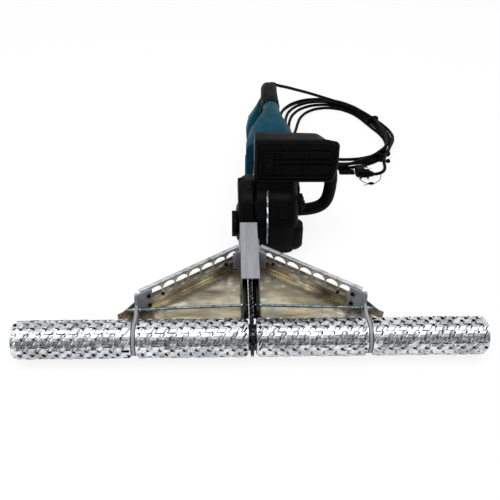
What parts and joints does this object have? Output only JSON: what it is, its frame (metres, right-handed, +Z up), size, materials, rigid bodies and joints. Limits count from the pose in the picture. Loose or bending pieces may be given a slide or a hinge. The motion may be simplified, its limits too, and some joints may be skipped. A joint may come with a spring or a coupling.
{
  "type": "power screed",
  "caption": "Chain-driven rasp roller on a forked boom, carried by a corded electric saw body with front and rear handles.",
  "frame": {"origin": "centre of the footprint of the object without its cord, on the ground", "axes": "+X along the drum to the user's left, +Y back to the rear handle, +Z up"},
  "size_m": [0.804, 1.0067, 0.2448],
  "materials": {
    "rasp": "bright, punched and rolled",
    "drum_aluminium": "machined",
    "bright_steel": "ground",
    "chain_steel": "oiled, polished edges",
    "black_steel": "satin black",
    "grey_steel": "matte grey",
    "arm_aluminium": "brushed",
    "apron_sheet": "bright sheet",
    "zinc": "zinc plated",
    "black_screw": "black oxide",
    "black_plastic": "fine grain",
    "teal_plastic": "semi-matt",
    "rubber": "matt",
    "cord_rubber": "matt",
    "iron_core": "laminated"
  },
  "bodies": {
    "body": {"drive_chain": "chain_steel", "guide_bar": "black_steel", "boom_plate_left": "black_steel", "boom_plate_right": "black_steel", "boom_spacers": "black_steel", "chain_cover": "grey_steel", "arm_left": "arm_aluminium", "arm_right": "arm_aluminium", "arm_root_left": "grey_steel", "arm_root_right": "grey_steel", "boom_bolts": "zinc", "hanger_left": "grey_steel", "hanger_right": "grey_steel", "axle_bearings": "bright_steel", "apron_left": "apron_sheet", "apron_right": "apron_sheet", "tie_rods": "zinc", "arm_screws": "black_screw", "gear_housing": "black_plastic", "motor_housing": "black_plastic", "base_cover": "black_plastic", "rear_housing_left": "teal_plastic", "rear_housing_right": "teal_plastic", "grip_overmould": "rubber", "sprocket_cover": "black_plastic", "bar_studs": "bright_steel", "spike_bumper": "bright_steel", "spindle_bearings": "bright_steel", "stator": "iron_core", "front_handle": "black_plastic", "guard_pivots": "bright_steel", "cord_guard": "cord_rubber", "cord_lead": "cord_rubber", "cord_coil": "cord_rubber", "cord_tail": "cord_rubber", "mains_plug": "cord_rubber"},
    "drum": {"axle": "bright_steel", "chain_wheel": "chain_steel", "drum_hubs": "drum_aluminium", "end_screws": "zinc", "drum_tube_outer_left": "drum_aluminium", "drum_tube_inner_left": "drum_aluminium", "drum_tube_inner_right": "drum_aluminium", "drum_tube_outer_right": "drum_aluminium", "rasp_outer_left": "rasp", "rasp_inner_left": "rasp", "rasp_inner_right": "rasp", "rasp_outer_right": "rasp"},
    "spindle": {"spindle": "bright_steel", "drive_sprocket": "chain_steel", "gear_wheel": "bright_steel"},
    "armature": {"armature": "iron_core", "cooling_fan": "black_plastic"},
    "hand_guard": {"hand_guard": "black_plastic"},
    "clamp_knob": {"clamp_knob": "black_plastic"},
    "clamp_lever": {"clamp_lever": "bright_steel"},
    "tension_dial": {"tension_dial": "black_plastic"},
    "trigger": {"trigger": "black_plastic"},
    "lock_off_button": {"lock_off_button": "black_plastic"},
    "oil_cap": {"oil_cap": "black_plastic"}
  },
  "joints": [
    {"name": "drum_spin", "type": "hinge", "parent": "body", "child": "drum", "pos_m": [0, -0.36882, 0.034], "axis": [1, 0, 0], "continuous": true},
    {"name": "spindle_spin", "type": "hinge", "parent": "body", "child": "spindle", "pos_m": [0, -0.01418, 0.075], "axis": [1, 0, 0], "continuous": true},
    {"name": "armature_spin", "type": "hinge", "parent": "body", "child": "armature", "pos_m": [0, 0.02582, 0.088], "axis": [1, 0, 0], "continuous": true},
    {"name": "guard_swing", "type": "hinge", "parent": "body", "child": "hand_guard", "pos_m": [0.015, -0.00418, 0.132], "axis": [1, 0, 0], "range_deg": [0, 14]},
    {"name": "clamp_turn", "type": "hinge", "parent": "body", "child": "clamp_knob", "pos_m": [-0.027, -0.08173, 0.06719], "axis": [1, 0, 0], "continuous": true},
    {"name": "lever_fold", "type": "hinge", "parent": "clamp_knob", "child": "clamp_lever", "pos_m": [-0.0293, -0.08173, 0.05519], "axis": [0, -1, 0], "range_deg": [0, 90]},
    {"name": "dial_turn", "type": "hinge", "parent": "body", "child": "tension_dial", "pos_m": [-0.025, -0.03418, 0.044], "axis": [1, 0, 0], "continuous": true},
    {"name": "trigger_pull", "type": "hinge", "parent": "body", "child": "trigger", "pos_m": [0.063, 0.22582, 0.132], "axis": [1, 0, 0], "range_deg": [0, 8], "stiffness_Nm_per_rad": 0.6, "springref_deg": -4.58},
    {"name": "lock_press", "type": "slide", "parent": "body", "child": "lock_off_button", "axis": [1, 0, 0], "range_m": [0, 0.004], "stiffness_N_per_m": 500, "springref_m": -0.001},
    {"name": "oil_cap_turn", "type": "hinge", "parent": "body", "child": "oil_cap", "pos_m": [0.105, -0.05418, 0.104], "axis": [1, 0, 0], "continuous": true}
  ],
  "couplings": [
    {"joint": "spindle_spin", "follows": "drum_spin", "ratio": 1.5},
    {"joint": "armature_spin", "follows": "drum_spin", "ratio": -7.5}
  ]
}
